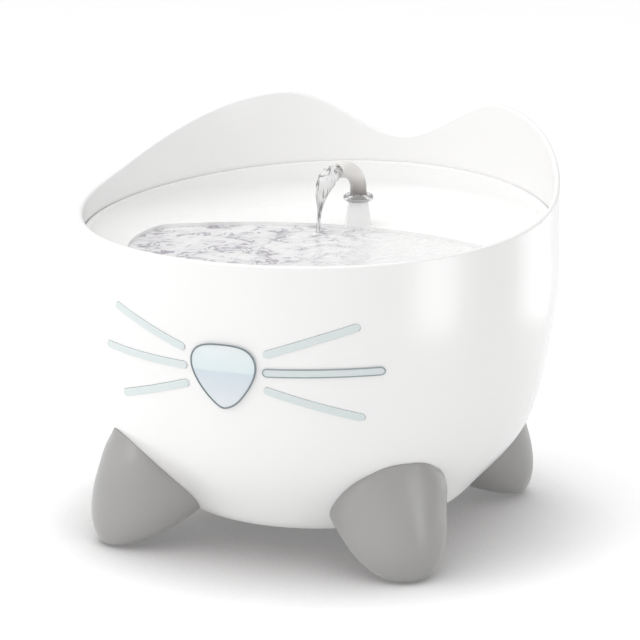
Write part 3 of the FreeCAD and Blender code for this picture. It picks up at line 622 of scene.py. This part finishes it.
def make_store_water():
    """The stored water: it fills the tub up to its level, a little clear of the wall."""
    outline = [Vector((radius, 0, height)) for radius, height in TUB_OUTLINE]
    profile = []
    for step in range(STORE_STEPS + 1):
        share = step / STORE_STEPS
        along = spline_way(outline, share)
        inwards = Vector((-along.z, 0, along.x)).normalized()
        profile.append(spline_point(outline, share) + inwards * STORE_INSET)
    profile[-1].z = STORE_LEVEL
    work = bmesh.new()
    rows = [[work.verts.new((point.x * math.cos(angle), point.x * math.sin(angle), point.z))
             for angle in full_turn(STORE_SPOKES)] for point in profile]
    join_rows(work, rows)
    work.faces.new(rows[-1])
    work.faces.new(list(reversed(rows[0])))
    water = clear("StoreWater", (0.86, 0.93, 0.96), (0.75, 0.84, 0.88), 0.95, 0.02, WATER_IOR)
    new_piece("store_water", finished_mesh("store_water", work, smooth=False), water, "tub")


# Beads on the face

def showing_faces(work):
    """The faces that show on the outside of a piece in the tub's front wall."""
    reach = max(vert.co.to_2d().length for vert in work.verts)
    showing = set()
    for face in work.faces:
        middle = face.calc_center_median()
        outwards = Vector((middle.x, middle.y, 0)).normalized()
        if face.normal.dot(outwards) > SHOWING_TURN and middle.to_2d().length > reach - OUTLINE_BAND:
            showing.add(face)
    return showing


def front_loops(node):
    """The closed edge lines round the faces of a piece that show."""
    work = bmesh.new()
    work.from_mesh(node.data)
    bmesh.ops.remove_doubles(work, verts=work.verts, dist=JOIN_DISTANCE)
    work.normal_update()
    showing = showing_faces(work)
    rims = [e for e in work.edges if sum(face in showing for face in e.link_faces) == 1]
    following = {}
    for edge in rims:
        first, second = edge.verts
        following.setdefault(first.index, []).append(second)
        following.setdefault(second.index, []).append(first)
    loops, seen = [], set()
    for edge in rims:
        start = edge.verts[0]
        if start.index in seen:
            continue
        line, at = [], start
        while at is not None:
            seen.add(at.index)
            line.append(at.co.copy())
            at = next((v for v in following[at.index] if v.index not in seen), None)
        loops.append(line)
    work.free()
    return loops


def make_outline(name, node, radius, material):
    """A fine soft bead round the showing edge of a piece in the front wall."""
    line = max(front_loops(node), key=len)
    curve = bpy.data.curves.new(name, "CURVE")
    curve.dimensions = "3D"
    curve.bevel_depth = radius
    curve.bevel_resolution = BEAD_ROUNDING
    spline = curve.splines.new("POLY")
    spline.points.add(len(line) - 1)
    for point, place in zip(spline.points, line):
        point.co = (*place, 1)
    spline.use_cyclic_u = True
    new_piece(name, curve, material, "tub")


def dress_face():
    # Dark beads drawn round the showing edges of the whiskers and the nose window
    bead = moulded("NoseOutlineBead", (0.20, 0.24, 0.26), 0.35, coat=0.3, variation=0.1, skin=0.3)
    pale_bead = moulded("WhiskerOutlineBead", (0.30, 0.36, 0.38), 0.35, coat=0.3, variation=0.1, skin=0.3)
    for name, node in nodes.items():
        if name.startswith("whisker_"):
            make_outline("outline_" + name, node, WHISKER_BEAD, pale_bead)
    make_outline("outline_nose", nodes["nose_window"], NOSE_BEAD, bead)


# Studio

def floor_paper():
    """Pale paper with a painted shadow that darkens it close to what stands on it, lifted towards white where
    it is looked at.
    """
    made, tree, shader = new_material("FloorPaper")
    texture = effect(tree, MOULDED_SKIN)
    tone = two_tones(tree, texture["Tone"], *PAPER_RANGE, (0.86, 0.86, 0.86), (0.87, 0.87, 0.87))
    # Painted shadow: darker where other surfaces are near, in what the camera sees
    nearness = add_node(tree, "ShaderNodeAmbientOcclusion", {"Distance": CONTACT_REACH}, samples=8)
    contact_shadow = two_tones(tree, nearness.outputs["AO"], *CONTACT_RANGE, CONTACT_SHADE, WHITE)
    ray = add_node(tree, "ShaderNodeLightPath").outputs
    seen = calculated(tree, "MAXIMUM", ray["Is Camera Ray"], ray["Is Glossy Ray"])
    seen = calculated(tree, "MAXIMUM", seen, ray["Is Transmission Ray"])
    feed_all(tree, shader, {
        "Base Color": mixed(tree, ray["Is Camera Ray"], tone, contact_shadow, "MULTIPLY"),
        "Roughness": 0.8,
        "Emission Color": WHITE,
        "Emission Strength": calculated(tree, "MULTIPLY", seen, FLOOR_LIFT),
    })
    return made


def make_floor():
    """A pale floor that keeps the shadow and meets a white background."""
    work = bmesh.new()
    for x, y in ((-1, -1), (1, -1), (1, 1), (-1, 1)):
        work.verts.new((x * FLOOR_REACH, y * FLOOR_REACH, 0))
    work.faces.new(work.verts)
    mesh = bpy.data.meshes.new("studio_floor")
    work.to_mesh(mesh)
    work.free()
    mesh.materials.append(floor_paper())
    floor = add_object("studio_floor", mesh)


def make_world():
    """Soft light, brighter from the front left, and seen as white where nothing stands."""
    world = bpy.data.worlds.new("Studio")
    bpy.context.scene.world = world
    world.use_nodes = True
    tree = world.node_tree
    ray = add_node(tree, "ShaderNodeLightPath").outputs
    seen = calculated(tree, "MAXIMUM", ray["Is Camera Ray"], ray["Is Transmission Ray"])
    direction = add_node(tree, "ShaderNodeTexCoord").outputs["Generated"]
    sides = {0: direction, 1: WORLD_BRIGHT_SIDE}
    facing = add_node(tree, "ShaderNodeVectorMath", sides, operation="DOT_PRODUCT").outputs["Value"]
    soft = stretched(tree, facing, -1.0, 1.0, WORLD_DIM, WORLD_BRIGHT)
    shares = {MIX_SHARE: seen, MIX_FIRST_VALUE: soft, MIX_SECOND_VALUE: 1.0}
    level = add_node(tree, "ShaderNodeMix", shares, data_type="FLOAT").outputs[MIX_VALUE]
    feed_all(tree, tree.nodes["Background"], {"Color": WHITE, "Strength": level})


def add_lamp(name, place, size, power):
    """A soft lamp aimed at the middle of the tub."""
    light = bpy.data.lights.new(name, "AREA")
    light.shape = "RECTANGLE"
    light.size, light.size_y = size
    light.energy = power
    lamp = add_object(name, light)
    lamp.location = place
    lamp.rotation_euler = (LAMP_AIM - Vector(place)).to_track_quat("-Z", "Y").to_euler()
    lamp.visible_camera = False
    return lamp


def add_gloss_card(name, turn, width, power):
    """A low upright card beside the tub that shows only as a soft streak in glossy walls."""
    place = Vector((math.sin(turn), -math.cos(turn), 0)) * CARD_REACH
    card = add_lamp(name, (place.x, place.y, LAMP_AIM.z), (width, CARD_HEIGHT), power)
    card.visible_diffuse = False
    card.visible_transmission = False


def make_studio():
    make_floor()
    make_world()
    add_lamp("left_window", *LEFT_WINDOW)
    top = add_lamp("top_panel", *TOP_PANEL)
    top.visible_glossy = False
    add_gloss_card("card_right", *CARD_RIGHT)
    add_gloss_card("card_rear", *CARD_REAR)


def make_camera():
    data = bpy.data.cameras.new("photo_view")
    data.lens = CAMERA_LENS
    data.sensor_width = SENSOR_WIDTH
    data.clip_start = CAMERA_NEAR
    camera = add_object("photo_view", data)
    camera.location = CAMERA_PLACE
    camera.rotation_euler = (CAMERA_AIM - CAMERA_PLACE).to_track_quat("-Z", "Y").to_euler()
    bpy.context.scene.camera = camera


finish_nodes()
dress_face()
make_pool_surface()
make_stream()
make_store_water()
make_studio()
make_camera()
bpy.context.scene.view_settings.view_transform = "Standard"

bpy.context.view_layer.update()
